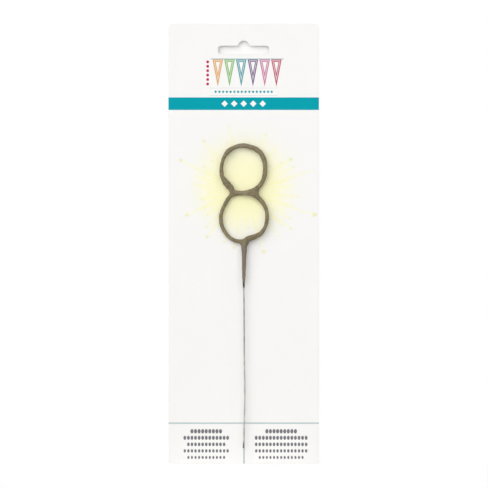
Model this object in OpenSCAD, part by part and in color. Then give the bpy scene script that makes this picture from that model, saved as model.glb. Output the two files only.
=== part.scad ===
// Number eight sparkler on its hanging card, in millimetres.
// The card stands in the XZ plane with its back face at Y = 0 and its printed face towards -Y.
// The origin is where a display peg seats in the hang slot. Z points up.

/* [Card] */
// Width of the backing card
card_w = 88.6; // [70:0.2:120]
// Height of the backing card
card_h = 259; // [245:1:320]
// Thickness of the board
card_t = 0.5; // [0.3:0.05:1.5]
// Radius of the card's corners
card_corner_r = 2.6; // [1:0.2:8]
// Drop from the card's top edge to the peg
peg_drop = 13.4; // [11:0.2:20]

/* [Hang slot] */
// Width of the hang slot
slot_w = 30; // [24:0.5:40]
// Height of the slot's bar
slot_h = 4.8; // [4.2:0.1:8]
// Radius of the slot's corners
slot_corner_r = 1.6; // [0.6:0.1:2]
// Radius of the raised seat in the slot's top edge
seat_r = 3.4; // [2.5:0.1:5]
// Height of the seat above the slot's bar
seat_rise = 3; // [1.5:0.1:5]

/* [Wire figure] */
// Drop from the peg to the waist of the figure
waist_drop = 86.1; // [75:0.1:100]
// Bend radius of the upper loop
upper_r = 12.8; // [10:0.1:17]
// Straight run in each side of the upper loop
upper_side = 2.2; // [0.5:0.1:8]
// Bend radius of the lower loop
lower_r = 13.5; // [11:0.1:18]
// Straight run in each side of the lower loop
lower_side = 1.8; // [0.5:0.1:8]
// Diameter of the drawn wire
wire_d = 0.8; // [0.6:0.05:1.4]
// Gap between the two strands where they cross at the waist
strand_gap = 0.1; // [0.05:0.05:0.5]
// Bend radius from the neck into the lower loop
neck_bend_r = 2.8; // [2.5:0.1:6]
// Length of the coated neck below the lower loop
neck_len = 27.2; // [15:0.1:40]
// Lean of the coated neck from the bare stem, in degrees
neck_lean = 0.7; // [0.6:0.1:2]
// Length of the bare stem below the coating
stem_len = 94.2; // [50:0.1:110]
// Offset of the stem from the card's middle
stem_x = 0; // [-1:0.1:1]

/* [Coating] */
// Diameter of the coated strands of the upper loop
upper_coat_d = 2.6; // [1.8:0.05:4]
// Diameter of the coated strands of the lower loop
lower_coat_d = 2.3; // [1.8:0.05:4]
// Rise and fall of the coating's radius along the strands
ripple_h = 0.1; // [0:0.02:0.2]
// Distance from one rise to the next
ripple_pitch = 9; // [6:0.5:30]
// Diameter of the coating just below the lower loop
neck_d = 3.1; // [2.4:0.1:5]
// Diameter of the coating down the neck
neck_mid_d = 2.4; // [1.6:0.1:4]
// Length over which the neck flares into the lower loop
neck_flare = 6; // [3:0.5:10]
// Length over which the coating runs out on the wire
neck_fade = 13; // [6:0.5:20]
// Diameter where the coating runs out on the stem
coat_tip_d = 1.2; // [1.2:0.1:2.4]
// Reach of the web of coating to the left of the waist
web_left = 7.2; // [3:0.1:9]
// Reach of the web of coating to the right of the waist
web_right = 8.2; // [3:0.1:10]
// Depth of the notch in the end of each web
web_notch = 1; // [0.2:0.1:2]
// Diameter of the lumps where the strands meet
lump_d = 3.4; // [2.4:0.1:5]
// Length of those lumps along the strands
lump_run = 5; // [2:0.1:8]
// Clearance between the wire and its coating
wire_clear = 0.03; // [0.02:0.01:0.1]

/* [Glue dots] */
// Diameter of the glue dots
dot_d = 2.2; // [1.4:0.1:3]
// Height of the coating's back above the card at the waist
dot_stand = 0.8; // [0.5:0.1:3]
// Depth to which the dots mould into the coating
dot_bite = 0.3; // [0.15:0.05:0.5]
// Clearance between a dot and the coating that it moulds to
dot_clear = 0.1; // [0.05:0.05:0.3]

/* [Hidden] */
$fn = 48;
// Steps in a quarter turn of the coating, and sides of its section and of the room that it leaves for the wire
QUARTER_STEPS = 8;
COAT_SIDES = 12;
ROOM_SIDES = 8;
// How far a straight step of that room cuts inside the wire's true bend
room_step = max(upper_r, lower_r) * (1 - cos(45 / QUARTER_STEPS));
// Two lengths of wire that meet at an angle both run on past the joint by this turn before they are cut
PAST_JOINT = 5;

// Heights of the card's edges and depth of its printed face
card_top = peg_drop;
card_bottom = peg_drop - card_h;
card_front = -card_t;
slot_top = seat_r - seat_rise;

// The front strand runs up the right of the lower loop and the left of the upper one.
// The back strand comes down the right of the upper loop and the left of the lower one.
coat_d = max(upper_coat_d, lower_coat_d);
strand_step = wire_d + strand_gap;
back_y = card_front - dot_stand - coat_d / 2;
front_y = back_y - strand_step;

// Bend centres of the two loops, as X and Z, from the bottom up
waist_z = -waist_drop;
low_a = [0, waist_z - lower_r - lower_side];
low_b = [0, waist_z - lower_r];
up_a = [0, waist_z + upper_r];
up_b = [0, waist_z + upper_r + upper_side];
base_z = low_a[1] - lower_r;
top_z = up_b[1] + upper_r;
upper_lean = atan(strand_step / (top_z - waist_z));

// The neck leans from the foot of the coating and bends to the right into the lower loop
foot_z = base_z - neck_len;
tip_z = foot_z - stem_len;
foot = [stem_x, foot_z];
neck_up = [sin(neck_lean), cos(neck_lean)];
neck_right = [cos(neck_lean), -sin(neck_lean)];
to_loop = low_a - foot;
neck_run = to_loop * neck_up
    - sqrt(pow(lower_r + neck_bend_r, 2) - pow(to_loop * neck_right - neck_bend_r, 2));
neck_top = foot + neck_run * neck_up;
bend_c = neck_top + neck_bend_r * neck_right;
bend_from = 180 - neck_lean;
bend_to = atan2(low_a[1] - bend_c[1], low_a[0] - bend_c[0]);
join_angle = bend_to - 180;
// The back strand ends just short of the neck
end_angle = 270 - asin(strand_step / lower_r);

// Seats and crowns of the glue dots
seat_top = [up_b[0], top_z];
seat_left = [-web_left / 2, low_b[1] + sqrt(pow(lower_r, 2) - pow(web_left / 2, 2))];
seat_right = [web_right / 2, up_a[1] - sqrt(pow(upper_r, 2) - pow(web_right / 2, 2))];
seat_base = neck_top;
back_crown = back_y + lower_coat_d / 2 - dot_bite;
front_crown = front_y + lower_coat_d / 2 - dot_bite;

function at_angle(c, r, a) = [c[0] + r * cos(a), c[1] + r * sin(a)];
// A point on a loop, so far round it from the bottom
function along_loop(c, r, run) = at_angle(c, r, 270 + run / r * 180 / PI);
function place(p, y) = [p[0], y, p[1]];
function bow(c, r, from, to, steps, y) =
    [for (i = [0 : steps]) place(at_angle(c, r, from + (to - from) * i / steps), y)];
// Points on the upper right half lean back from the top of the figure to the waist
function lean_back(points) =
    [for (p = points) [p[0], back_y - (p[2] - waist_z) * tan(upper_lean), p[2]]];
// Radius of the coating at a point. It changes over at the waist, is fuller on the right,
// and has a slow rise and fall that follows from where the point is.
function above_waist(p) = min(1, max(0, 0.5 + (p[2] - waist_z) / upper_r));
function coat_r(p) = (lower_coat_d + (upper_coat_d - lower_coat_d) * above_waist(p)) / 2
    + ripple_h * (above_waist(p) * p[0] / upper_r + sin(360 * (p[2] - p[0] / 3) / ripple_pitch) / 2);
// Radius of the coating so far up the neck, which grows from the tip and flares into the figure
function ease(t) = pow(min(1, max(0, t)), 2) * (3 - 2 * min(1, max(0, t)));
function neck_r(run) = (coat_tip_d + (neck_mid_d - coat_tip_d) * ease(run / neck_fade)
    + (neck_d - neck_mid_d) * ease(1 - (neck_run - run) / neck_flare)) / 2;

// Flat outlines

module rounded_plate(w, h, r) {
    square([w - 2 * r, h], center = true);
    square([w, h - 2 * r], center = true);
    for (x = [-1, 1], y = [-1, 1])
        translate([x * (w / 2 - r), y * (h / 2 - r)]) circle(r);
}

module card_outline() {
    difference() {
        translate([0, (card_top + card_bottom) / 2]) rounded_plate(card_w, card_h, card_corner_r);
        translate([0, slot_top - slot_h / 2]) rounded_plate(slot_w, slot_h, slot_corner_r);
        circle(seat_r);
    }
}

// Lengths of wire, each upright or round one bend

module bent(c, r, from, turn, y) {
    translate(place(c, y)) rotate([90, 0, 0])
        rotate_extrude(angle = turn, start = from) translate([r, 0]) circle(d = wire_d);
}

module upright(x, y, z, length) {
    translate([x, y, z]) cylinder(d = wire_d, h = length);
}

// Beyond or short of a joint, whose plane faces along an angle
module side_of(p, facing, ahead) {
    block = 4 * wire_d;
    translate(place(p, front_y)) rotate([0, 90 - facing, 0])
        translate([-block / 2, -block / 2, ahead ? 0 : -block]) cube(block);
}

// The wire swells a little where one length turns into the next at an angle
module swell(p, facing) {
    translate(place(p, front_y)) rotate([0, 90 - facing, 0]) sphere((wire_d + wire_clear) / 2);
}

// The wire from the tip of the stem to its hidden end at the base is one unbroken length
module wire_run() {
    foot_facing = 90 - neck_lean / 2;
    join = at_angle(low_a, lower_r, join_angle);
    difference() {
        upright(stem_x, front_y, tip_z, stem_len + wire_d);
        side_of(foot, foot_facing, true);
    }
    difference() {
        translate(place(bend_c, front_y)) rotate([0, neck_lean, 0]) {
            upright(-neck_bend_r, 0, -neck_run - wire_d, neck_run + wire_d);
            bent([0, 0], neck_bend_r, bend_to + neck_lean - PAST_JOINT, 180 - bend_to - neck_lean + PAST_JOINT, 0);
        }
        side_of(foot, foot_facing, false);
        side_of(join, join_angle + 90, true);
    }
    difference() {
        bent(low_a, lower_r, join_angle - PAST_JOINT, PAST_JOINT - join_angle, front_y);
        side_of(join, join_angle + 90, false);
    }
    upright(lower_r, front_y, low_a[1], lower_side);
    bent(low_b, lower_r, 0, 90, front_y);
    bent(up_a, upper_r, 180, 90, front_y);
    upright(-upper_r, front_y, up_a[1], upper_side);
    bent(up_b, upper_r, 90, 90, front_y);
    translate([0, back_y, waist_z]) rotate([upper_lean, 0, 0]) translate([0, -back_y, -waist_z]) {
        bent(up_a, upper_r, 270, 90, back_y);
        upright(upper_r, back_y, up_a[1], upper_side);
        bent(up_b, upper_r, 0, 90, back_y);
    }
    bent(low_b, lower_r, 90, 90, back_y);
    upright(-lower_r, back_y, low_a[1], lower_side);
    bent(low_a, lower_r, 180, end_angle - 180, back_y);
    swell(foot, 90);
    swell(join, join_angle + 90);
    swell(seat_top, 0);
}

// The same run as points, for the room that the coating leaves round the wire
neck_points = [place(foot - [0, neck_d], front_y), place(foot, front_y), place(neck_top, front_y)];
bend_points = bow(bend_c, neck_bend_r, bend_from, bend_to, QUARTER_STEPS / 2, front_y);
front_low = concat(bow(low_a, lower_r, join_angle, 0, QUARTER_STEPS, front_y),
                   bow(low_b, lower_r, 0, 90, QUARTER_STEPS, front_y));
front_up = concat(bow(up_a, upper_r, 270, 180, QUARTER_STEPS, front_y),
                  bow(up_b, upper_r, 180, 90, QUARTER_STEPS, front_y));
back_up = lean_back(concat(bow(up_b, upper_r, 90, 0, QUARTER_STEPS, back_y),
                           bow(up_a, upper_r, 0, -90, QUARTER_STEPS, back_y)));
back_low = concat(bow(low_b, lower_r, 90, 180, QUARTER_STEPS, back_y),
                  bow(low_a, lower_r, 180, end_angle, QUARTER_STEPS, back_y));

// Stretches of coating, each from ball to ball along a list of points

module ball(p, r, sides) {
    translate(p) sphere(r, $fn = sides);
}

module rope(points, radii, sides) {
    for (i = [1 : len(points) - 1]) hull() {
        ball(points[i - 1], radii[i - 1], sides);
        ball(points[i], radii[i], sides);
    }
}

module coated(points) {
    rope(points, [for (p = points) coat_r(p)], COAT_SIDES);
}

// The room's flat sides and straight steps stay outside the true round wire
module wire_room() {
    flat = pow(cos(180 / ROOM_SIDES), 2);
    straight_r = (wire_d / 2 + wire_clear) / flat;
    bend_r = (wire_d / 2 + wire_clear + room_step) / flat;
    points = concat(bend_points, front_low, front_up, back_up, back_low);
    rope(neck_points, [for (p = neck_points) straight_r], ROOM_SIDES);
    rope(points, [for (p = points) bend_r], ROOM_SIDES);
}

// Where two strands run close together the coating bridges them, with a notch in the end of the bridge
module web(one, other) {
    last = len(one) - 1;
    middle = [for (i = [0 : last]) (one[i] + other[i]) / 2 * (1 - i / last)
        + [one[i][0] - sign(one[i][0]) * web_notch, (one[i][1] + other[i][1]) / 2, waist_z] * i / last];
    for (i = [1 : last], side = [one, other]) hull()
        for (p = [side[i - 1], side[i], middle[i - 1], middle[i]]) ball(p, coat_r(p), COAT_SIDES);
}

module coat_solid() {
    n = QUARTER_STEPS;
    neck_steps = 2 * n;
    upper_pool = (lump_d - coat_d) / 2;
    base_pool = (lump_d - lower_coat_d) / 2;
    coated(bend_points);
    coated(front_low);
    coated(front_up);
    coated(back_up);
    coated(back_low);
    web(bow(up_a, upper_r, 270, 270 - asin(web_left / upper_r), n / 2, front_y),
        bow(low_b, lower_r, 90, 90 + asin(web_left / lower_r), n / 2, back_y));
    web(lean_back(bow(up_a, upper_r, 270, 270 + asin(web_right / upper_r), n / 2, back_y)),
        bow(low_b, lower_r, 90, 90 - asin(web_right / lower_r), n / 2, front_y));
    rope([for (i = [0 : neck_steps]) place(foot + (neck_top - foot) * i / neck_steps, front_y)],
         [for (i = [0 : neck_steps]) neck_r(neck_run * i / neck_steps)], COAT_SIDES);
    // Slurry pools where the neck meets both ends of the lower loop, and inside the upper loop's left foot
    rope([place(neck_top, front_y), place(along_loop(low_a, lower_r - base_pool, lump_run / 2), front_y),
          place(along_loop(low_a, lower_r - base_pool, lump_run * 5 / 4), front_y),
          place(along_loop(low_a, lower_r, lump_run * 9 / 4), front_y)],
         [neck_d / 2, lump_d / 2, lump_d / 2, lower_coat_d / 2], COAT_SIDES);
    rope([place(neck_top, front_y), place(at_angle(low_a, lower_r, end_angle), back_y),
          place(along_loop(low_a, lower_r - base_pool, lump_run / 2), front_y)],
         [neck_d / 2, lower_coat_d / 2, lower_coat_d / 2], COAT_SIDES);
    rope([place(along_loop(up_a, upper_r - upper_pool, -web_left), front_y),
          place(along_loop(up_a, upper_r - upper_pool, -web_left - lump_run), front_y),
          place(along_loop(up_a, upper_r, -web_left - 2 * lump_run), front_y)],
         [lump_d / 2, lump_d / 2, lower_coat_d / 2], COAT_SIDES);
}

// Sub-parts

module backing_card() {
    color("whitesmoke") rotate([90, 0, 0]) linear_extrude(card_t) card_outline();
}

module sparkler_wire() {
    color("silver") wire_run();
}

module sparkler_coating() {
    color("dimgray") difference() {
        coat_solid();
        wire_room();
        dot_room(seat_top, front_crown);
        dot_room(seat_left, back_crown);
        dot_room(seat_right, back_crown);
        dot_room(seat_base, front_crown);
    }
}

// A dot runs along Y from the card's printed face to its crown, which moulds into the coating
module dot(seat, crown_y) {
    color("lightblue") translate(place(seat, card_front)) rotate([90, 0, 0])
        cylinder(d = dot_d, h = card_front - crown_y);
}

module dot_room(seat, crown_y) {
    translate(place(seat, card_front)) rotate([90, 0, 0])
        cylinder(d = dot_d + 2 * dot_clear, h = card_front - crown_y + dot_clear);
}

module glue_dot_top() {
    dot(seat_top, front_crown);
}

module glue_dot_waist_left() {
    dot(seat_left, back_crown);
}

module glue_dot_waist_right() {
    dot(seat_right, back_crown);
}

module glue_dot_base() {
    dot(seat_base, front_crown);
}

backing_card();
sparkler_wire();
sparkler_coating();
glue_dot_top();
glue_dot_waist_left();
glue_dot_waist_right();
glue_dot_base();
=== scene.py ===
import math

import bmesh
import bpy
from mathutils import Matrix, Vector, noise


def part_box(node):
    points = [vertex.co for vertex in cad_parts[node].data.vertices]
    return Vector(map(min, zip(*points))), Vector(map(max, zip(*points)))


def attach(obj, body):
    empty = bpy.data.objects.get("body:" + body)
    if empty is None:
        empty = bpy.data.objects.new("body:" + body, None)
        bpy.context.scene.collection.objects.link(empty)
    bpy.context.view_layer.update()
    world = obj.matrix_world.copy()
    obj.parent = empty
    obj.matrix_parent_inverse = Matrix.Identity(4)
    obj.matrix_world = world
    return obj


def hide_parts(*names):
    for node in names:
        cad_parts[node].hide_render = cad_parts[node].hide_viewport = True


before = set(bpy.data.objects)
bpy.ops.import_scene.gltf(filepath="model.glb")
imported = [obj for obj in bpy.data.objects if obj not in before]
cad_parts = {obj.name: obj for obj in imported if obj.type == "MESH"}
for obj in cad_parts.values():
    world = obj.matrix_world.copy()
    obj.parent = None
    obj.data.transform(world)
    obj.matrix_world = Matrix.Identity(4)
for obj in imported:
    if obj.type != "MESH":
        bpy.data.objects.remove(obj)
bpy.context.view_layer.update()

# The backing card
# White solid board with a coated face, die-cut with rounded corners and a euro hang slot.
# One half is drawn flat and mirrored, then thickened and eased along its cut edges.
MM = 0.001
CARD_W, CARD_T = 88.6, 0.5
CARD_TOP, CARD_BOTTOM = 13.4, -245.6
CARD_CORNER, CORNER_STEPS = 2.6, 8
SLOT_W, SLOT_TOP, SLOT_BOTTOM, SLOT_CORNER = 30.0, 0.4, -4.4, 1.6
SEAT_R, SEAT_FILLET, SEAT_STEPS = 3.4, 0.9, 14
CUT_EASE, EASE_STEPS = 0.07, 2
SHARP_TURN = 1.2
FRONT_FACING = -0.5
SAME_SPOT, SEAM_REACH = 1e-7, 1e-6


def put_in_scene(name, data):
    """Adds an object to the scene, at the origin and unturned."""
    thing = bpy.data.objects.new(name, data)
    bpy.context.scene.collection.objects.link(thing)
    return thing


def finish_mesh(bm, name, smooth=True):
    """Turns a bmesh, its faces turned outwards, into an object of the scene."""
    bmesh.ops.remove_doubles(bm, verts=bm.verts, dist=SAME_SPOT)
    bmesh.ops.recalc_face_normals(bm, faces=bm.faces)
    if bm.calc_volume(signed=True) < 0:
        bmesh.ops.reverse_faces(bm, faces=bm.faces)
    mesh = bpy.data.meshes.new(name)
    bm.to_mesh(mesh)
    bm.free()
    for face in mesh.polygons:
        face.use_smooth = smooth
    return put_in_scene(name, mesh)


def only(kind, parts):
    """The parts of one kind out of what an operator gives back."""
    return [part for part in parts if isinstance(part, kind)]


def flat_point(bm, x, z):
    """A corner of the card's flat outline, on its printed face."""
    return bm.verts.new((x * MM, -CARD_T * MM, z * MM))


card = bmesh.new()
half_w = CARD_W / 2
seat_turn = math.acos(SLOT_TOP / SEAT_R)
seat_crown = flat_point(card, 0, SEAT_R)
bmesh.ops.spin(card, geom=[seat_crown], cent=(0, -CARD_T * MM, 0), axis=(0, 1, 0), angle=seat_turn,
               steps=SEAT_STEPS)
seat_arc = sorted(card.verts, key=lambda v: -v.co.z)
slot_rim = [flat_point(card, SLOT_W / 2, SLOT_TOP), flat_point(card, SLOT_W / 2, SLOT_BOTTOM)]
seam = [flat_point(card, 0, SLOT_BOTTOM), flat_point(card, 0, CARD_BOTTOM)]
outer_rim = [flat_point(card, half_w, CARD_BOTTOM), flat_point(card, half_w, CARD_TOP)]
outline = seat_arc + slot_rim + seam + outer_rim + [flat_point(card, 0, CARD_TOP)]
card.faces.new(outline)
for corners, radius in ((outer_rim, CARD_CORNER), (slot_rim, SLOT_CORNER), ([seat_arc[-1]], SEAT_FILLET)):
    bmesh.ops.bevel(card, geom=corners, offset=radius * MM, offset_type="OFFSET", affect="VERTICES",
                    segments=CORNER_STEPS, profile=0.5, material=-1)
bmesh.ops.mirror(card, geom=card.verts[:] + card.edges[:] + card.faces[:], axis="X", merge_dist=SEAM_REACH)
bmesh.ops.recalc_face_normals(card, faces=card.faces)
walls = bmesh.ops.extrude_face_region(card, geom=card.faces[:])["geom"]
bmesh.ops.translate(card, verts=only(bmesh.types.BMVert, walls), vec=(0, CARD_T * MM, 0))
bmesh.ops.recalc_face_normals(card, faces=card.faces)
sharp_edges = [e for e in card.edges if e.calc_face_angle(0) > SHARP_TURN]
cut_edges = [e for e in sharp_edges if abs(e.verts[0].co.y - e.verts[1].co.y) < SAME_SPOT]
bmesh.ops.bevel(card, geom=cut_edges, offset=CUT_EASE * MM, affect="EDGES", segments=EASE_STEPS,
                profile=0.5, material=-1)
bmesh.ops.recalc_face_normals(card, faces=card.faces)
for face in card.faces:
    face.material_index = 0 if face.normal.y < FRONT_FACING else 1
backing_card = finish_mesh(card, "printed_card", smooth=False)
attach(backing_card, "card")
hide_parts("backing_card")

# The print on the card's face
# Offset inks on the coated board: pennants, a teal band, a pale burst behind the figure and ruled panels.
# Each shape is a distance in millimetres on the card, and its ink stops where that passes zero.


class Socket:
    """A value inside a material. Arithmetic on it adds Math nodes."""

    def __init__(self, tree, output=None):
        self.tree = tree
        self.output = output

    def make(self, kind, settings=None, inputs=None, output=0):
        """Adds any node: its settings first, then the values or links of its sockets."""
        node = self.tree.nodes.new(kind)
        for name, value in (settings or {}).items():
            if name == "stops":
                ramp = node.color_ramp.elements
                while len(ramp) < len(value):
                    ramp.new(1.0)
                for stop, (place, colour) in zip(ramp, value):
                    stop.position, stop.color = place, colour
            elif name == "interpolation":
                node.color_ramp.interpolation = value
            else:
                setattr(node, name, value)
        for name, value in (inputs or {}).items():
            if isinstance(value, Socket):
                self.tree.links.new(value.output, node.inputs[name])
            else:
                node.inputs[name].default_value = value
        return Socket(self.tree, node.outputs[output] if len(node.outputs) else None)

    def math(self, operation, *values, clamp=False):
        settings = {"operation": operation, "use_clamp": clamp}
        return self.make("ShaderNodeMath", settings, dict(enumerate(values)))

    def __add__(self, other):
        return self.math("ADD", self, other)

    def __radd__(self, other):
        return self.math("ADD", other, self)

    def __sub__(self, other):
        return self.math("SUBTRACT", self, other)

    def __rsub__(self, other):
        return self.math("SUBTRACT", other, self)

    def __mul__(self, other):
        return self.math("MULTIPLY", self, other)

    def __rmul__(self, other):
        return self.math("MULTIPLY", other, self)

    def __truediv__(self, other):
        return self.math("DIVIDE", self, other)

    def __abs__(self):
        return self.math("ABSOLUTE", self)

    def over(self, other):
        """The larger of two values. Of two distances, it is where both shapes overlap."""
        return self.math("MAXIMUM", self, other)

    def under(self, other):
        """The smaller of two values. Of two distances, it is both shapes together."""
        return self.math("MINIMUM", self, other)

    def length_with(self, other):
        return self.math("SQRT", self * self + other * other)

    def between(self, low, high):
        """0 at low and 1 at high, with a smooth way between them."""
        settings = {"interpolation_type": "SMOOTHSTEP"}
        return self.make("ShaderNodeMapRange", settings, {"Value": self, "From Min": low, "From Max": high})

    def blend(self, one, other):
        """A colour that goes from one to the other as this value goes from 0 to 1."""
        settings = {"data_type": "RGBA", "clamp_factor": True}
        return self.make("ShaderNodeMix", settings, {0: self, 6: one, 7: other}, output=2)


def new_finish(name):
    """A material with its Principled shader, and a socket to build its nodes from."""
    finish = bpy.data.materials.new(name)
    finish.use_nodes = True
    return finish, finish.node_tree.nodes["Principled BSDF"], Socket(finish.node_tree)


def feed(shader, **inputs):
    """Sets or links a shader's sockets, which are named in lower case with _ for a space."""
    for name, value in inputs.items():
        target = shader.inputs[name.replace("_", " ").title().replace("Ior", "IOR")]
        if isinstance(value, Socket):
            value.tree.links.new(value.output, target)
        else:
            target.default_value = value


def surface_place(start):
    """A point of the surface, in metres from the origin."""
    return start.make("ShaderNodeTexCoord", output="Object")


def across_and_up(place):
    """How far a point of the surface lies across and up, in millimetres."""
    parts = [place.make("ShaderNodeSeparateXYZ", None, {0: place}, output=axis) for axis in ("X", "Z")]
    return [part * (1 / MM) for part in parts]


def cloud(place, scale, detail, roughness=0.5):
    """Soft random patches from 0 to 1, about as many to the metre as the scale says."""
    inputs = {"Vector": place, "Scale": scale, "Detail": detail, "Roughness": roughness}
    return place.make("ShaderNodeTexNoise", None, inputs)


def relief(height, strength, depth):
    """Fine relief for a shader's normal, with its depth in millimetres."""
    inputs = {"Strength": strength, "Distance": depth * MM, "Height": height}
    return height.make("ShaderNodeBump", None, inputs)


def srgb(red, green, blue):
    """A colour as it is written on screen, 0 to 255, turned into linear light."""
    shares = [level / 255 for level in (red, green, blue)]
    linear = [s / 12.92 if s <= 0.04045 else ((s + 0.055) / 1.055) ** 2.4 for s in shares]
    return (*linear, 1.0)


PAPER = srgb(248, 247, 245)
TEAL = srgb(0, 160, 175)
PALE_TEAL = srgb(182, 200, 201)
RULE_TEAL = srgb(160, 183, 183)
CRIMSON = srgb(196, 36, 92)
PANEL_GREY = srgb(120, 119, 124)
GLOW_YELLOW = srgb(255, 252, 208)
RAY_YELLOW = srgb(252, 249, 188)
SPARK_YELLOW = srgb(236, 233, 170)
PENNANT_INKS = [srgb(222, 160, 70), srgb(124, 184, 88), srgb(44, 150, 162), srgb(108, 74, 130),
                srgb(200, 112, 158), srgb(186, 54, 90)]
INK_EDGE, RULE_EDGE, WHOLE_EDGE = 0.12, 0.4, 0.01
BLEED = 60.0
GLOW_Z, GLOW_REACH, GLOW_FALL = -82.0, 27.0, 4.0
DIM_FROM, DIM_TO, DIM_SHARE = -90.0, -110.0, 0.3
CALM_W, CALM_H, CALM_Z = 13.0, 14.0, -72.0
CALM_INNER, CALM_OUTER = 0.8, 1.15
BURST_X, BURST_Z, BURST_SQUASH, BURST_INK = -0.5, -86.0, 1.15, 0.65
RAY_EDGE, RAY_END, SPARK_EDGE = 0.9, 2.0, 1.2
RAY_STRAY, STRAY_SEED = 0.5, 0.37
TAPER_FROM, TAPER_SHARE = 0.8, 0.25
CORE_INNER, CORE_OUTER, CORE_SHARE = 2.0, 26.0, 0.35
# Each layer gives its rays, their shortest and longest reach, half width, largest spark and seed.
BURST_LAYERS = [(13, 36, 46, 0.4, 1.5, 3.0), (29, 24, 37, 0.4, 0.6, 11.0), (47, 18, 31, 0.4, 0.0, 23.0)]
PENNANT_LEFT, PENNANT_PITCH, PENNANT_HALF = -18.7, 6.9, 3.1
PENNANT_TOP, PENNANT_DROP, PENNANT_FADE = -7.6, 16.0, 0.6
PENNANT_RINGS = (0.0, 0.55, 1.05, 1.5)
STRING_SPARE, STRING_LOW, STRING_HIGH = 0.8, PENNANT_TOP - 0.1, PENNANT_TOP + 0.5
BEAD_X, BEAD_PITCH, BEAD_R = -21.2, 2.6, 0.85
BEAD_ROW = (-23.0, -19.6, -23.4, -7.8)
FLECK_Z, FLECK_PITCH, FLECK_R = -26.7, 2.2, 0.85
FLECK_ROW = (-17.6, 17.6, -28.5, -25.0)
HEADER_RULES, HEADER_RULE_HALF, HAIRLINE, HAIRLINE_INK = (-24.5, -28.9), 20.0, 0.12, 0.6
BAND_TOP, BAND_BOTTOM = -30.0, -37.4
GEM_PITCH, GEM_R, GEMS_HALF = 5.6, 1.9, 14.0
PANEL_LINE_Z, PANEL_LINE_HALF = -221.75, 0.3
MIDDLE_LINE_X, MIDDLE_LINE_HALF = 0.19, 0.35
PANEL_TOP, ROW_PITCH, ROW_REACHES = -224.6, 3.85, (0.62, 0.95, 0.9, 1.0, 0.86)
OVAL_PITCH, OVAL_R, OVAL_SHRINK, OVAL_TALL = 2.1, 0.9, 0.07, 1.45
# Each panel gives its middle and half the width of its longest row.
PANELS = [(-22.0, 13.9), (22.2, 16.6)]
FIBRE_SHADE, CLOUD_SHADE = 0.03, 0.02
COATED_ROUGH, COATED_SWING, COATED_SHINE = 0.5, 0.12, 0.05


def ink(distance, edge=INK_EDGE):
    """How much ink lies at a distance from a shape's outline, which is less than zero inside it."""
    return distance.math("SUBTRACT", 0.5, distance / edge, clamp=True)


def in_box(x, z, left, right, low, high):
    """The distance from the outline of a box on the card."""
    across = abs(x - (left + right) / 2) - (right - left) / 2
    return across.over(abs(z - (low + high) / 2) - (high - low) / 2)


def repeat(distance, pitch):
    """Which step of a row a point is in, and how far it is from the middle of that step."""
    at = distance / pitch
    step = at.math("FLOOR", at)
    return step, (at - step - 0.5) * pitch


def by_step(step, colours):
    """The colour that belongs to a step of a row."""
    stops = [(i / len(colours), colour) for i, colour in enumerate(colours)]
    settings = {"interpolation": "CONSTANT", "stops": stops}
    return step.make("ShaderNodeValToRGB", settings, {0: (step + 0.5) / len(colours)})


def burst_rays(x, z, rays, shortest, longest, half_width, spark, seed):
    """Ink of a ring of fine rays of uneven length, and of the spark at the end of each."""
    turn = z.math("ARCTAN2", z, x) / (2 * math.pi) * rays
    which = turn.math("FLOOR", turn)
    by_number = {"noise_dimensions": "1D"}
    chance = which.make("ShaderNodeTexWhiteNoise", by_number, {"W": which + seed})
    other = which.make("ShaderNodeTexWhiteNoise", by_number, {"W": which + (seed + STRAY_SEED)})
    out = x.length_with(z)
    aside = (turn - which - 0.5 + (other - 0.5) * RAY_STRAY) * out * (2 * math.pi / rays)
    reach = chance * (longest - shortest) + shortest
    taper = 1.0 - out.between(shortest * TAPER_FROM, longest) * TAPER_SHARE
    core = out.between(CORE_INNER, CORE_OUTER) * (1.0 - CORE_SHARE) + CORE_SHARE
    ray = ink(abs(aside) - half_width, RAY_EDGE) * ink(out - reach, RAY_END) * (taper * core)
    tip = ink(aside.length_with(out - reach) - spark * other, SPARK_EDGE)
    return ray, tip


printed, printed_shader, start = new_finish("printed_board")
place = surface_place(start)
across, up = across_and_up(place)

glow_out = across.length_with(up - GLOW_Z) / GLOW_REACH
glow = start.math("POWER", math.e, 0.0 - start.math("POWER", glow_out, GLOW_FALL))
glow = glow * (up.between(DIM_TO, DIM_FROM) * DIM_SHARE + (1.0 - DIM_SHARE))
colour = glow.blend(PAPER, GLOW_YELLOW)
calm = (across / CALM_W).length_with((up - CALM_Z) / CALM_H).between(CALM_INNER, CALM_OUTER)
for layer in BURST_LAYERS:
    ray, tip = burst_rays(across - BURST_X, (up - BURST_Z) * BURST_SQUASH, *layer)
    colour = (ray * calm * BURST_INK).blend(colour, RAY_YELLOW)
    colour = (tip * calm * BURST_INK).blend(colour, SPARK_YELLOW)

pennant_right = PENNANT_LEFT + len(PENNANT_INKS) * PENNANT_PITCH
pennant, aside = repeat(across - PENNANT_LEFT, PENNANT_PITCH)
lean = PENNANT_HALF / PENNANT_DROP
side = (abs(aside) - PENNANT_HALF + (PENNANT_TOP - up) * lean) / math.hypot(1.0, lean)
shape = side.over(up - PENNANT_TOP)
row_box = in_box(across, up, PENNANT_LEFT, pennant_right, PENNANT_TOP - BLEED, PENNANT_TOP + BLEED)
full_ink = by_step(pennant, PENNANT_INKS)
half_ink = start.make("ShaderNodeMix", {"data_type": "RGBA"}, {0: PENNANT_FADE, 6: full_ink, 7: PAPER},
                      output=2)
for inset, shade in zip(PENNANT_RINGS, (full_ink, half_ink, full_ink, PAPER)):
    colour = ink((shape + inset).over(row_box)).blend(colour, shade)
string = in_box(across, up, PENNANT_LEFT - STRING_SPARE, pennant_right + STRING_SPARE,
                STRING_LOW, STRING_HIGH)
colour = ink(string).blend(colour, PALE_TEAL)

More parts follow.
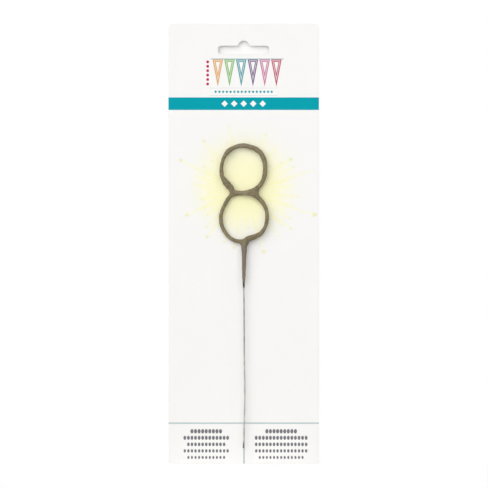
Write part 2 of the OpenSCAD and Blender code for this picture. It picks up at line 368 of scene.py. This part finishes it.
_, bead_off = repeat(up, BEAD_PITCH)
bead = ink(bead_off.length_with(across - BEAD_X) - BEAD_R)
colour = (bead * ink(in_box(across, up, *BEAD_ROW))).blend(colour, CRIMSON)
_, fleck_off = repeat(across, FLECK_PITCH)
fleck = ink(abs(fleck_off) + abs(up - FLECK_Z) - FLECK_R)
colour = (fleck * ink(in_box(across, up, *FLECK_ROW))).blend(colour, TEAL)
for rule_z in HEADER_RULES:
    rule = in_box(across, up, -HEADER_RULE_HALF, HEADER_RULE_HALF, rule_z - HAIRLINE, rule_z + HAIRLINE)
    colour = (ink(rule) * HAIRLINE_INK).blend(colour, PALE_TEAL)

band = in_box(across, up, -BLEED, BLEED, BAND_BOTTOM, BAND_TOP)
colour = ink(band).blend(colour, TEAL)
_, gem_off = repeat(across + GEM_PITCH / 2, GEM_PITCH)
gem = ink(abs(gem_off) + abs(up - (BAND_TOP + BAND_BOTTOM) / 2) - GEM_R)
colour = (gem * ink(abs(across) - GEMS_HALF)).blend(colour, PAPER)

panel_line = in_box(across, up, -BLEED, BLEED, PANEL_LINE_Z - PANEL_LINE_HALF, PANEL_LINE_Z + PANEL_LINE_HALF)
middle_line = in_box(across, up, MIDDLE_LINE_X - MIDDLE_LINE_HALF, MIDDLE_LINE_X + MIDDLE_LINE_HALF,
                     CARD_BOTTOM - BLEED, PANEL_LINE_Z)
colour = ink(panel_line.under(middle_line), RULE_EDGE).blend(colour, RULE_TEAL)
row, row_off = repeat(PANEL_TOP - up, ROW_PITCH)
oval, oval_off = repeat(across, OVAL_PITCH)
oval_middle = (oval + 0.5) * OVAL_PITCH
row_greys = by_step(row, [(reach, reach, reach, 1.0) for reach in ROW_REACHES])
row_reach = start.make("ShaderNodeSeparateColor", None, {0: row_greys})
rows_half = len(ROW_REACHES) * ROW_PITCH / 2
rows_only = ink(abs(up - (PANEL_TOP - rows_half)) - rows_half)
ovals = ink(oval_off.length_with(row_off / OVAL_TALL) - (OVAL_R - row * OVAL_SHRINK))
left, right = [ink(abs(oval_middle - middle) - row_reach * half, WHOLE_EDGE) for middle, half in PANELS]
colour = (ovals * rows_only * left.over(right)).blend(colour, PANEL_GREY)

fibre = cloud(place, scale=900.0, detail=6.0, roughness=0.7)
cloudy = cloud(place, scale=60.0, detail=3.0)
shade = 1.0 - ((fibre - 0.5) * FIBRE_SHADE + (cloudy - 0.5) * CLOUD_SHADE)
shade_colour = start.make("ShaderNodeCombineColor", None, {0: shade, 1: shade, 2: shade})
colour = start.make("ShaderNodeMix", {"data_type": "RGBA", "blend_type": "MULTIPLY"},
                    {0: 1.0, 6: colour, 7: shade_colour}, output=2)
feed(printed_shader, base_color=colour, roughness=COATED_ROUGH + (cloudy - 0.5) * COATED_SWING,
     normal=relief(fibre, strength=0.06, depth=0.1), specular_ior_level=COATED_SHINE)
backing_card.data.materials.append(printed)

# The board's core and back
# The same board without its coating, a little greyer and rougher.
# Its fibres and a few darker specks show on the back and at the die-cut edge.
BOARD_GREY, BOARD_WHITE, BOARD_SPECK = srgb(226, 223, 216), srgb(240, 238, 232), srgb(196, 188, 172)
FIBRE_RANGE, SPECK_RANGE, SPECK_SHARE = (0.25, 0.75), (0.62, 0.75), 0.35
BARE_ROUGH, BARE_SWING = 0.8, 0.15

board, board_shader, start = new_finish("bare_board")
place = surface_place(start)
fibre = cloud(place, scale=700.0, detail=8.0, roughness=0.75)
speck = cloud(place, scale=260.0, detail=2.0)
board_colour = fibre.between(*FIBRE_RANGE).blend(BOARD_GREY, BOARD_WHITE)
board_colour = (speck.between(*SPECK_RANGE) * SPECK_SHARE).blend(board_colour, BOARD_SPECK)
feed(board_shader, base_color=board_colour, roughness=BARE_ROUGH + (fibre - 0.5) * BARE_SWING,
     normal=relief(fibre, strength=0.2, depth=0.1))
backing_card.data.materials.append(board)

# The glue dots
# Clear removable glue, squeezed between the card and the coated wire so that its sides draw in.
# A half section is spun into each dot, from the card's face to the crown that moulds into the coating.
DOT_SECTION = [(0.0, 1.0), (0.14, 0.93), (0.4, 0.86), (0.7, 0.87), (0.92, 0.93), (1.0, 0.72)]
DOT_STEPS = 28
GLUE_CLEAR, GLUE_HAZE = srgb(236, 234, 222), srgb(222, 216, 196)
GLUE_BODY, HAZE_BODY = 0.62, 0.2
GLUE_ROUGH, HAZE_ROUGH = 0.12, 0.12
BUBBLE_SCALE = 2600.0

glue, glue_shader, start = new_finish("clear_glue")
place = surface_place(start)
bubble_cells = {"Vector": place, "Scale": BUBBLE_SCALE}
bubbles = start.make("ShaderNodeTexVoronoi", {"feature": "SMOOTH_F1"}, bubble_cells)
haze = cloud(place, scale=900.0, detail=3.0)
feed(glue_shader, base_color=haze.blend(GLUE_CLEAR, GLUE_HAZE), roughness=haze * HAZE_ROUGH + GLUE_ROUGH,
     alpha=GLUE_BODY + haze * HAZE_BODY, normal=relief(bubbles, strength=0.15, depth=0.1))

for dot_name in ("glue_dot_top", "glue_dot_waist_left", "glue_dot_waist_right", "glue_dot_base"):
    low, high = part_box(dot_name)
    centre, radius, height = (low + high) / 2, (high.x - low.x) / 2, high.y - low.y
    dot = bmesh.new()
    section = [dot.verts.new((centre.x, high.y, centre.z))]
    section += [dot.verts.new((centre.x + radius * r, high.y - height * h, centre.z)) for h, r in DOT_SECTION]
    section.append(dot.verts.new((centre.x, low.y, centre.z)))
    edges = [dot.edges.new(pair) for pair in zip(section, section[1:])]
    bmesh.ops.spin(dot, geom=section + edges, cent=centre, axis=(0, 1, 0), angle=2 * math.pi, steps=DOT_STEPS,
                   use_merge=True)
    piece = finish_mesh(dot, "clear_" + dot_name)
    piece.data.materials.append(glue)
    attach(piece, "card")
    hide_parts(dot_name)

# The wire
# One length of drawn steel wire, straight for the stem and then bent round the figure from loop to loop.
# A ring of the wire's section is drawn out along each straight run and spun round each bend.
WIRE_R, WIRE_SIDES, END_EASE = 0.4, 20, 0.08
FRONT_Y, BACK_Y = -3.5, -2.6
TIP_Z, FOOT_Z, WAIST_Z = -236.3, -142.1, -86.1
UPPER_R, UPPER_SIDE, LOWER_R, LOWER_SIDE = 12.8, 2.2, 13.5, 1.8
NECK_LEAN, NECK_BEND_R = math.radians(0.7), 2.8
STEM_BOW, STEM_STEPS = 0.3, 24
NECK_STEPS, JOIN_STEPS, QUARTER_STEPS = 14, 24, 28
# Each kink gives its place across and up, its reach, and its push across and up.
KINKS = [(12.5, -74.4, 6, -0.25, 0.0), (9.7, -62.5, 3, 0.16, 0.16), (3.1, -58.6, 3, 0.0, -0.4),
         (-9.1, -61.4, 3, -0.2, 0.22), (-12.4, -77.5, 6, -0.26, -0.1), (-3.0, -85.9, 4, 0.0, -0.35),
         (-12.3, -93.4, 5, 0.6, -0.3), (-6.0, -113.4, 5, -0.18, -0.4), (4.6, -113.1, 4.5, -0.2, 0.75),
         (13.2, -98.2, 6, 0.3, 0.05), (-7.0, -86.2, 4, -0.8, 0.0), (-13.0, -71.5, 5, -0.2, 0.0),
         (0.3, -204.0, 14, 0.36, 0.0), (0.0, -238.0, 6, -0.2, 0.0)]
STEEL_DULL, STEEL_BRIGHT, DULL_RANGE = srgb(138, 136, 132), srgb(182, 179, 173), (0.3, 0.7)
# The stem's colour is darker in a band from just below the coating to about 40 mm further down.
STEM_DARK, STEM_DARK_SHARE, STEM_DARK_Z, STEM_DARK_REACH = srgb(88, 85, 80), 0.38, -163.0, (12.0, 22.0)
BURNT, BURNT_SHARE, BURNT_Z = srgb(58, 56, 54), 0.75, (TIP_Z + 2.2, TIP_Z + 4.4)
STEEL_METAL, METAL_LOST = 0.85, 0.35
STEEL_ROUGH, DRAWN_ROUGH, DULL_ROUGH, BURNT_ROUGH = 0.3, 0.12, 0.12, 0.2
DRAWN_STRETCH = (1.0, 1.0, 0.02)

low_a, low_b = WAIST_Z - LOWER_R - LOWER_SIDE, WAIST_Z - LOWER_R
up_a, up_b = WAIST_Z + UPPER_R, WAIST_Z + UPPER_R + UPPER_SIDE
lean_back = math.atan2(FRONT_Y - BACK_Y, 2 * UPPER_R + UPPER_SIDE)
neck_up = Vector((math.sin(NECK_LEAN), 0, math.cos(NECK_LEAN)))
neck_right = Vector((math.cos(NECK_LEAN), 0, -math.sin(NECK_LEAN)))
foot = Vector((0, FRONT_Y, FOOT_Z))
to_loop = Vector((0, FRONT_Y, low_a)) - foot
neck_run = to_loop.dot(neck_up) - math.sqrt((LOWER_R + NECK_BEND_R) ** 2
                                            - (to_loop.dot(neck_right) - NECK_BEND_R) ** 2)
neck_bend = foot + neck_up * neck_run + neck_right * NECK_BEND_R
join_turn = math.degrees(math.atan2(low_a - neck_bend.z, neck_bend.x))
end_turn = math.degrees(math.asin((BACK_Y - FRONT_Y) / LOWER_R))


def leaning(z):
    """A bend centre of the upper loop's right half, which leans back to the waist."""
    rise = z - WAIST_Z
    return (0, BACK_Y + rise * math.sin(lean_back), WAIST_Z + rise * math.cos(lean_back))


def draw_out(ring, way):
    """Draws the wire's end on along a straight run, and gives back its new end."""
    drawn = bmesh.ops.extrude_edge_only(wire, edges=ring)["geom"]
    bmesh.ops.translate(wire, verts=only(bmesh.types.BMVert, drawn), vec=Vector(way) * MM)
    return [e for e in only(bmesh.types.BMEdge, drawn) if all(v in drawn for v in e.verts)]


def nearness(spot, x, z, reach):
    """1 at a place on the figure, falling away smoothly over its reach."""
    return math.exp(-((spot.x - x) ** 2 + (spot.z - z) ** 2) / reach ** 2)


def bend_by_hand(bm):
    """Pushes the figure out of true at each kink."""
    for vert in bm.verts:
        spot = vert.co / MM
        for x, z, reach, push_x, push_z in KINKS:
            vert.co += Vector((push_x, 0, push_z)) * nearness(spot, x, z, reach) * MM


flat_axis = (0, 1, 0)
back_axis = (0, math.cos(lean_back), -math.sin(lean_back))
down_back = Vector((0, -math.sin(lean_back), -math.cos(lean_back))) * UPPER_SIDE
wire_way = [
    (neck_up * neck_run,),
    (neck_bend, flat_axis, join_turn - math.degrees(NECK_LEAN), NECK_STEPS),
    ((0, FRONT_Y, low_a), flat_axis, -join_turn, JOIN_STEPS),
    ((0, 0, LOWER_SIDE),),
    ((0, FRONT_Y, low_b), flat_axis, -90, QUARTER_STEPS),
    ((0, FRONT_Y, up_a), flat_axis, 90, QUARTER_STEPS),
    ((0, 0, UPPER_SIDE),),
    ((0, FRONT_Y, up_b), flat_axis, 90, QUARTER_STEPS),
    (leaning(up_b), back_axis, 90, QUARTER_STEPS),
    (down_back,),
    (leaning(up_a), back_axis, 90, QUARTER_STEPS),
    ((0, BACK_Y, low_b), flat_axis, -90, QUARTER_STEPS),
    ((0, 0, -LOWER_SIDE),),
    ((0, BACK_Y, low_a), flat_axis, end_turn - 90, QUARTER_STEPS),
]

wire = bmesh.new()
bmesh.ops.create_circle(wire, cap_ends=False, segments=WIRE_SIDES, radius=WIRE_R * MM,
                        matrix=Matrix.Translation(Vector((0, FRONT_Y, TIP_Z)) * MM))
ring = wire.edges[:]
for _ in range(STEM_STEPS):
    ring = draw_out(ring, (0, 0, (FOOT_Z - TIP_Z) / STEM_STEPS))
for move in wire_way:
    if len(move) == 1:
        ring = draw_out(ring, move[0])
    else:
        centre, axis, turn, steps = move
        spun = bmesh.ops.spin(wire, geom=ring, cent=Vector(centre) * MM, axis=axis,
                              angle=math.radians(turn), steps=steps)
        ring = only(bmesh.types.BMEdge, spun["geom_last"])
for vert in wire.verts:
    along = (vert.co.z / MM - TIP_Z) / (FOOT_Z - TIP_Z)
    if along < 1:
        vert.co.x += STEM_BOW * MM * (1 - (2 * along - 1) ** 4)
bend_by_hand(wire)
ends = bmesh.ops.holes_fill(wire, edges=[e for e in wire.edges if e.is_boundary], sides=WIRE_SIDES)
rims = [e for face in ends["faces"] for e in face.edges]
bmesh.ops.bevel(wire, geom=rims, offset=END_EASE * MM, affect="EDGES", segments=EASE_STEPS, profile=0.5,
                material=-1)
sparkler_wire = finish_mesh(wire, "steel_wire")


def lay_over(colour, coats):
    """Lays coats over a colour. Each gives where it lies, its share there and its tint."""
    for mask, share, tint in coats:
        colour = (mask * share).blend(colour, tint)
    return colour


steel, steel_shader, start = new_finish("drawn_steel")
place = surface_place(start)
_, up = across_and_up(place)
drawn_place = start.make("ShaderNodeMapping", None, {"Vector": place, "Scale": DRAWN_STRETCH})
drawn = cloud(drawn_place, scale=9000.0, detail=4.0)
dull = cloud(place, scale=240.0, detail=5.0, roughness=0.65)
# A darker band of the stem below the coating.
dark_band = 1.0 - abs(up - STEM_DARK_Z).between(*STEM_DARK_REACH)
burnt = 1.0 - up.between(*BURNT_Z)
steel_colour = dull.between(*DULL_RANGE).blend(STEEL_DULL, STEEL_BRIGHT)
steel_colour = lay_over(steel_colour, [(dark_band, STEM_DARK_SHARE, STEM_DARK), (burnt, BURNT_SHARE, BURNT)])
feed(steel_shader, base_color=steel_colour, metallic=STEEL_METAL - burnt * METAL_LOST,
     roughness=STEEL_ROUGH + drawn * DRAWN_ROUGH + dull * DULL_ROUGH + burnt * BURNT_ROUGH,
     normal=relief(drawn, strength=0.25, depth=0.05))
sparkler_wire.data.materials.append(steel)
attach(sparkler_wire, "sparkler")
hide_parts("sparkler_wire")

# The coating
# Sparkler slurry, dipped on in several coats: a matt grey-brown crust with lumps, grains and metal flecks.
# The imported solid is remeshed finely, smoothed as wet slurry levels out, and roughened with grains and lumps.
CRUST_VOXEL = 0.18
LEVELLING, LEVELLING_SHARE = 6, 0.5
# Each roughness gives its waves to the millimetre and its height.
COARSE, FINE, GRAIN = (0.5, 0.1), (1.7, 0.06), (5.0, 0.03)
ROUGHNESS_SHIFT = Vector((7.0, 0, 0))
# Each lump gives its place across and up, its reach and its height.
LUMPS = [(-9.4, -61.0, 2.5, 0.3), (-9.8, -80.5, 3, 0.3), (8.2, -61.2, 3, 0.2), (0.0, -58.2, 2, 0.18),
         (-13.3, -67.6, 3, -0.16), (12.3, -76.5, 3.5, -0.12), (9.0, -90.0, 3.5, 0.25), (3.0, -86.0, 3, 0.2),
         (0.5, -116.0, 3, 0.25), (0.6, -120.0, 3.5, 0.25), (0.5, -126.0, 3, 0.12), (-0.2, -136.0, 2.5, 0.14),
         (-4.6, -85.0, 1.2, -0.4), (7.0, -115.0, 3, -0.65), (1.2, -112.4, 1.6, 0.3), (8.4, -108.2, 2.5, 0.25),
         (-4.8, -89.4, 2.4, -0.7)]
OLIVE, TAN, PATCH_RANGE = srgb(119, 112, 84), srgb(141, 127, 97), (0.3, 0.7)
MOTTLE_PALE, MOTTLE_DARK, MOTTLE_SHARE = srgb(150, 137, 112), srgb(92, 83, 62), 0.6
PALE_MOTTLES, DARK_MOTTLES = (0.52, 0.68), (0.32, 0.48)
GREY_CRUST, GREY_SHARE, LOOP_GREY_SHARE = srgb(124, 112, 100), 0.7, 0.7
NECK_GREY_Z, LOOP_GREY_Z = (-120.0, -112.0), (-62.0, -57.5)
# Painted highlight: a paler tint on the crown of the upper loop and round the middle of the waist, standing in
# for the light that falls on the top of the figure.
PAINTED_HIGHLIGHT, HIGHLIGHT_SHARE = srgb(150, 139, 114), 0.5
CROWN_HIGHLIGHT_Z, WAIST_HIGHLIGHT_Z, WAIST_HIGHLIGHT_REACH = (-60.5, -57.5), -86.0, (1.5, 4.5)
# Darker brown spots at three junctions of the figure, each given by its place across and up.
JUNCTION_SPOTS = [(-9.0, -79.5), (7.5, -86.5), (5.0, -112.5)]
SPOT_BROWN, SPOT_SHARE, SPOT_REACH, SPOT_RANGE = srgb(98, 86, 64), 0.3, (1.5, 5.0), (0.3, 0.6)
GRAIN_DARK, DARK_GRAINS, DARK_GRAIN_SHARE = srgb(80, 71, 54), (0.3, 0.5), 0.55
GRAIN_PALE, PALE_GRAINS, PALE_GRAIN_SHARE = srgb(170, 161, 134), (0.56, 0.72), 0.5
GLINT_METAL, GLINT_SHARE, GLINT_SCALE = srgb(192, 187, 172), 0.7, 1700.0
GLINT_RANGE, GLINT_PICK = (0.12, 0.3), (0.72, 0.78)
TAIL_BLACK, TAIL_SHARE, TAIL_Z = srgb(40, 34, 30), 0.95, (FOOT_Z + 1.5, FOOT_Z + 5.0)
CRUST_ROUGH, GLINT_GLOSS = 0.86, 0.45

crust = bmesh.new()
crust.from_mesh(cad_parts["sparkler_coating"].data)
bmesh.ops.remove_doubles(crust, verts=crust.verts, dist=SAME_SPOT)
rough_mesh = bpy.data.meshes.new("rough_crust")
crust.to_mesh(rough_mesh)
crust.free()
rough = put_in_scene("rough_crust", rough_mesh)
remesh = rough.modifiers.new("remesh", "REMESH")
remesh.mode = "VOXEL"
remesh.voxel_size = CRUST_VOXEL * MM
fine_mesh = bpy.data.meshes.new_from_object(rough.evaluated_get(bpy.context.evaluated_depsgraph_get()))
bpy.data.objects.remove(rough)

crust = bmesh.new()
crust.from_mesh(fine_mesh)
for _ in range(LEVELLING):
    bmesh.ops.smooth_vert(crust, verts=crust.verts, factor=LEVELLING_SHARE,
                          use_axis_x=True, use_axis_y=True, use_axis_z=True)
crust.normal_update()
swelling = []
for vert in crust.verts:
    spot = vert.co / MM
    rise = 0.0
    for scale, height in (COARSE, FINE, GRAIN):
        rise += height * noise.noise((spot + ROUGHNESS_SHIFT) * scale)
    for x, z, reach, swell in LUMPS:
        rise += swell * nearness(spot, x, z, reach)
    swelling.append(vert.normal * rise * MM)
for vert, move in zip(crust.verts, swelling):
    vert.co += move
bend_by_hand(crust)
sparkler_coating = finish_mesh(crust, "slurry_crust")

slurry, slurry_shader, start = new_finish("dried_slurry")
place = surface_place(start)
across, up = across_and_up(place)
patch = cloud(place, scale=220.0, detail=4.0, roughness=0.6)
mottle = cloud(place, scale=620.0, detail=2.0)
grains = cloud(place, scale=2400.0, detail=5.0, roughness=0.7)
glint_cells = {"Vector": place, "Scale": GLINT_SCALE}
glint_out = start.make("ShaderNodeTexVoronoi", None, glint_cells)
glint_pick = start.make("ShaderNodeTexVoronoi", None, glint_cells, output="Color")
glint_chance = start.make("ShaderNodeSeparateColor", None, {0: glint_pick})
glint = (1.0 - glint_out.between(*GLINT_RANGE)) * glint_chance.between(*GLINT_PICK)
greyer = (1.0 - up.between(*NECK_GREY_Z)).over(up.between(*LOOP_GREY_Z) * LOOP_GREY_SHARE)
from_waist = across.length_with(up - WAIST_HIGHLIGHT_Z)
# Painted highlight on the crown and round the middle of the waist.
painted_highlight_mask = up.between(*CROWN_HIGHLIGHT_Z).over(1.0 - from_waist.between(*WAIST_HIGHLIGHT_REACH))
tail = 1.0 - up.between(*TAIL_Z)
# Darker spots at three junctions of the figure.
junction_dark = [1.0 - (across - x).length_with(up - z).between(*SPOT_REACH) for x, z in JUNCTION_SPOTS]
slurry_colour = lay_over(patch.between(*PATCH_RANGE).blend(OLIVE, TAN), [
    (mottle.between(*PALE_MOTTLES), MOTTLE_SHARE, MOTTLE_PALE),
    (1.0 - mottle.between(*DARK_MOTTLES), MOTTLE_SHARE, MOTTLE_DARK),
    (greyer, GREY_SHARE, GREY_CRUST),
    (painted_highlight_mask, HIGHLIGHT_SHARE, PAINTED_HIGHLIGHT),
    *[(dark_spot * patch.between(*SPOT_RANGE), SPOT_SHARE, SPOT_BROWN) for dark_spot in junction_dark],
    (1.0 - grains.between(*DARK_GRAINS), DARK_GRAIN_SHARE, GRAIN_DARK),
    (grains.between(*PALE_GRAINS), PALE_GRAIN_SHARE, GRAIN_PALE),
    (glint, GLINT_SHARE, GLINT_METAL),
    (tail, TAIL_SHARE, TAIL_BLACK),
])
feed(slurry_shader, base_color=slurry_colour, metallic=glint * GLINT_SHARE,
     roughness=CRUST_ROUGH - glint * GLINT_GLOSS, normal=relief(grains, strength=0.8, depth=0.18))
sparkler_coating.data.materials.append(slurry)
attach(sparkler_coating, "sparkler")
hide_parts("sparkler_coating")

# The floor and the wall
# A plain white set: the card stands on the floor in front of the wall, which shows from the front alone.
# Both keep a little of the card's soft shadow, and the wall lets light through to the card's back.
WALL_Y, FLOOR_Z = 2.2, CARD_BOTTOM - 0.1
STAGE_HALF, STAGE_CELLS = 1400.0, 4
OWN_LIGHT = 1.02
SHADOW_EDGE = 1.0
EDGE_ON_FROM, EDGE_ON_TO = 0.9, 0.97


def stage_plane(name, turn, place):
    """A square sheet of the set, turned about the line across and then put in place."""
    sheet = bmesh.new()
    bmesh.ops.create_grid(sheet, x_segments=STAGE_CELLS, y_segments=STAGE_CELLS, size=STAGE_HALF * MM)
    bmesh.ops.rotate(sheet, verts=sheet.verts, cent=(0, 0, 0), matrix=Matrix.Rotation(turn, 3, "X"))
    bmesh.ops.translate(sheet, verts=sheet.verts, vec=Vector(place) * MM)
    mesh = bpy.data.meshes.new(name)
    sheet.to_mesh(mesh)
    sheet.free()
    plane = put_in_scene(name, mesh)
    return plane


def seen_ray(start):
    """1 for what the camera sees, straight or by way of gloss or glass."""
    straight = start.make("ShaderNodeLightPath", output="Is Camera Ray")
    mirrored = start.make("ShaderNodeLightPath", output="Is Glossy Ray")
    passed = start.make("ShaderNodeLightPath", output="Is Transmission Ray")
    return straight.over(mirrored).over(passed)


def stage_finish(name, white, lift, one_sided):
    """White, with its own light for the camera except behind the card. One-sided, it is clear to all else."""
    finish = bpy.data.materials.new(name)
    finish.use_nodes = True
    finish.node_tree.nodes.clear()
    start = Socket(finish.node_tree)
    seen = seen_ray(start)
    across, up = across_and_up(surface_place(start))
    from_card = in_box(across, up, -CARD_W / 2, CARD_W / 2, CARD_BOTTOM, CARD_TOP)
    own_share = seen * from_card.between(-SHADOW_EDGE, 0.0) * lift
    matt = start.make("ShaderNodeBsdfDiffuse", None, {"Color": (white, white, white, 1)})
    own_light = start.make("ShaderNodeEmission", None, {"Color": (1, 1, 1, 1), "Strength": OWN_LIGHT})
    shader = start.make("ShaderNodeMixShader", None, {0: own_share, 1: matt, 2: own_light})
    if one_sided:
        behind = start.make("ShaderNodeNewGeometry", output="Backfacing")
        facing = start.make("ShaderNodeLayerWeight", None, {"Blend": 0.5}, output="Facing")
        unseen = behind.over(facing.between(EDGE_ON_FROM, EDGE_ON_TO)).over(1.0 - seen)
        clear = start.make("ShaderNodeBsdfTransparent")
        shader = start.make("ShaderNodeMixShader", None, {0: unseen, 1: shader, 2: clear})
    start.make("ShaderNodeOutputMaterial", None, {"Surface": shader})
    return finish


floor = stage_plane("floor", 0, (0, 0, FLOOR_Z))
wall = stage_plane("wall", math.pi / 2, (0, WALL_Y, FLOOR_Z + STAGE_HALF))
floor.data.materials.append(stage_finish("floor_white", white=0.8, lift=0.96, one_sided=False))
wall.data.materials.append(stage_finish("wall_white", white=1.0, lift=0.92, one_sided=True))

# The light
# A broad soft key from the upper left, a weaker fill from the upper right and a faint light on the back.
# An even white surround lifts what is left of the shade.
SURROUND = 0.29
# Each lamp gives its strength, its width in degrees and the way to it.
LAMPS = [("key", 1.73, 60.0, (-0.6, -1.0, 0.5)), ("fill", 0.73, 60.0, (0.35, -1.0, 0.3)),
         ("back", 0.35, 60.0, (0.3, 1.0, 0.4))]

for lamp_name, strength, width, way in LAMPS:
    lamp = bpy.data.lights.new(lamp_name, "SUN")
    lamp.energy = strength
    lamp.angle = math.radians(width)
    put_in_scene(lamp_name, lamp).rotation_euler = Vector(way).to_track_quat("Z", "Y").to_euler()

world = bpy.data.worlds.new("studio")
world.use_nodes = True
bpy.context.scene.world = world
surround = seen_ray(Socket(world.node_tree)) * (1 - SURROUND) + SURROUND
feed(world.node_tree.nodes["Background"], color=(1, 1, 1, 1), strength=surround)

# The camera
# Square on to the card through a long lens, framed as in the photograph.
# The lens follows from the camera's distance and from the width of the frame at the card.
FRAME_WIDTH, DISTANCE = 287.3, 2400.0
LOOK_X, LOOK_Z = 0.18, -116.3
SENSOR, FARTHEST = 36.0, 20000.0

lens = bpy.data.cameras.new("camera")
lens.sensor_width = SENSOR
lens.lens = SENSOR * DISTANCE / FRAME_WIDTH
lens.clip_end = FARTHEST * MM
camera = put_in_scene("camera", lens)
camera.location = Vector((LOOK_X, -DISTANCE, LOOK_Z)) * MM
camera.rotation_euler = (math.pi / 2, 0, 0)
bpy.context.scene.camera = camera
bpy.context.scene.view_settings.view_transform = "Standard"
